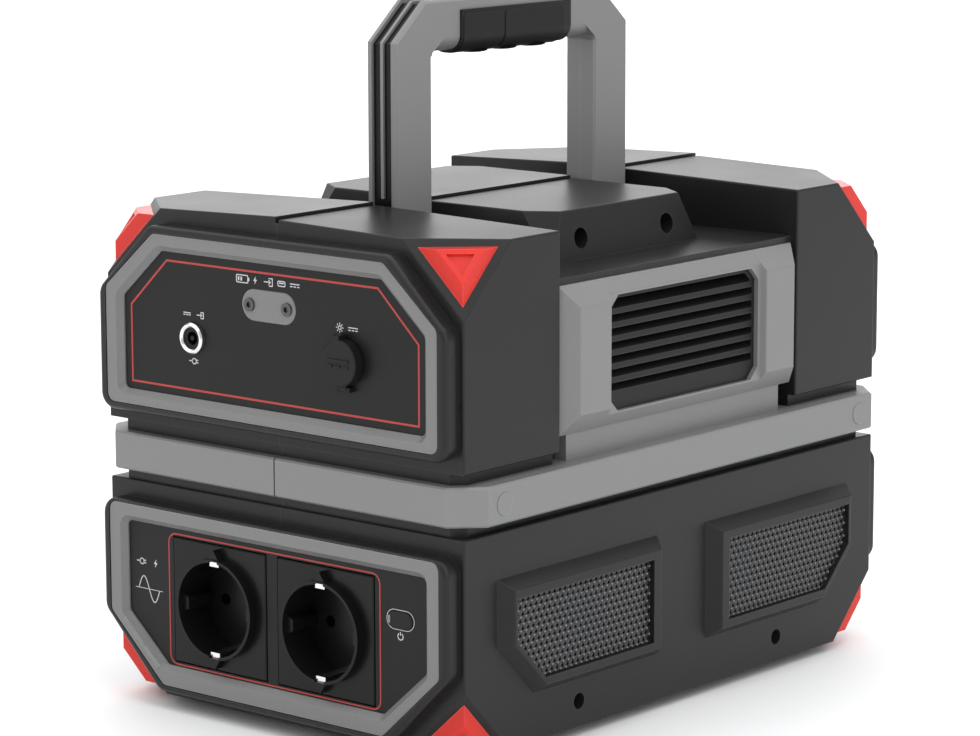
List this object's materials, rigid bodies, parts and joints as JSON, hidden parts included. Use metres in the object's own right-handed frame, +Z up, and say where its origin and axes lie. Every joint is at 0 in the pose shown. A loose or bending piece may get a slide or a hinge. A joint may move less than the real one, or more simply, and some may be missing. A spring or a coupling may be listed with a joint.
{
  "type": "portable power station",
  "caption": "Two-deck portable power station with AC sockets, fold-down carry handle, side louvres and mesh vents, grey belt and red corner bumpers.",
  "frame": {"origin": "centre of the footprint, on the surface that the feet stand on", "axes": "+Z up, +Y from the AC sockets towards the display, +X to the right seen from the sockets"},
  "size_m": [0.2068, 0.2968, 0.292],
  "materials": {
    "black_shell": "fine-grained black plastic",
    "board_green": "circuit board",
    "bumper_red": "glossy red plastic",
    "cell_blue": "cell sleeves",
    "core_iron": "ferrite core",
    "display_glass": "dark display window",
    "grey_ring": "satin grey plastic",
    "grey_shell": "satin grey plastic",
    "holder_black": "flame-retardant plastic",
    "louvre_black": "moulded black plastic",
    "mesh_black": "black-painted pressed steel mesh",
    "nickel": "nickel plating",
    "panel_black": "smooth black plastic",
    "pin_steel": "ground steel",
    "rubber_black": "moulded rubber",
    "screw_steel": "blackened steel",
    "sink_alloy": "extruded aluminium",
    "socket_black": "semi-gloss black thermoset"
  },
  "bodies": {
    "case": {"ac_socket_left": "socket_black", "ac_socket_right": "socket_black", "battery_board": "board_green", "battery_cells": "cell_blue", "belt_left": "grey_shell", "belt_plugs": "grey_shell", "belt_right": "grey_shell", "bumper_bottom_left_front": "bumper_red", "bumper_bottom_left_rear": "bumper_red", "bumper_bottom_right_front": "bumper_red", "bumper_bottom_right_rear": "bumper_red", "bumper_top_left_front": "bumper_red", "bumper_top_left_rear": "bumper_red", "bumper_top_right_front": "bumper_red", "bumper_top_right_rear": "bumper_red", "car_socket": "panel_black", "cell_holders": "holder_black", "dc_jack_insert": "panel_black", "dc_jack_shell": "nickel", "deck_plate": "holder_black", "display_lens": "display_glass", "earth_clips": "nickel", "fan_frames": "holder_black", "feet": "rubber_black", "front_lower_panel": "panel_black", "front_lower_ring": "grey_ring", "front_upper_panel": "panel_black", "front_upper_ring": "grey_ring", "heat_sinks": "sink_alloy", "inverter_board": "board_green", "louvre_left": "louvre_black", "louvre_right": "louvre_black", "lower_case_left": "black_shell", "lower_case_right": "black_shell", "pivot_pins": "pin_steel", "rear_lower_panel": "panel_black", "rear_lower_ring": "grey_ring", "rear_upper_panel": "panel_black", "rear_upper_ring": "grey_ring", "screws": "screw_steel", "service_cover": "grey_shell", "side_meshes": "mesh_black", "solar_port": "panel_black", "transformer": "core_iron", "upper_case_left": "black_shell", "upper_case_right": "black_shell", "usb_ports": "nickel", "vent_frame_left": "grey_shell", "vent_frame_right": "grey_shell"},
    "handle": {"handle_core": "panel_black", "handle_grip": "rubber_black", "handle_inlay": "grey_shell", "handle_shell_left": "grey_shell", "handle_shell_right": "grey_shell"},
    "ac_button": {"ac_button": "panel_black"},
    "dc_button": {"dc_button": "panel_black"},
    "solar_cap": {"solar_cap": "rubber_black"},
    "car_cap": {"car_socket_cap": "rubber_black"},
    "fan_left": {"fan_rotor_left": "holder_black"},
    "fan_right": {"fan_rotor_right": "holder_black"}
  },
  "joints": [
    {"name": "handle_fold", "type": "hinge", "parent": "case", "child": "handle", "pos_m": [0, 0, 0.199], "axis": [0, 1, 0], "range_deg": [-90, 90]},
    {"name": "ac_button_press", "type": "slide", "parent": "case", "child": "ac_button", "axis": [0, 1, 0], "range_m": [0, 0.0008], "stiffness_N_per_m": 900, "springref_m": -0.0006},
    {"name": "dc_button_press", "type": "slide", "parent": "case", "child": "dc_button", "axis": [0, -1, 0], "range_m": [0, 0.0008], "stiffness_N_per_m": 900, "springref_m": -0.0006},
    {"name": "solar_cap_swing", "type": "hinge", "parent": "case", "child": "solar_cap", "pos_m": [0.041, -0.1448, 0.1473], "axis": [1, 0, 0], "range_deg": [0, 110]},
    {"name": "car_cap_swing", "type": "hinge", "parent": "case", "child": "car_cap", "pos_m": [-0.03, 0.1448, 0.0311], "axis": [-1, 0, 0], "range_deg": [0, 110]},
    {"name": "fan_left_spin", "type": "hinge", "parent": "case", "child": "fan_left", "pos_m": [-0.076, 0, 0.15475], "axis": [1, 0, 0], "continuous": true},
    {"name": "fan_right_spin", "type": "hinge", "parent": "case", "child": "fan_right", "pos_m": [0.076, 0, 0.15475], "axis": [1, 0, 0], "continuous": true}
  ]
}
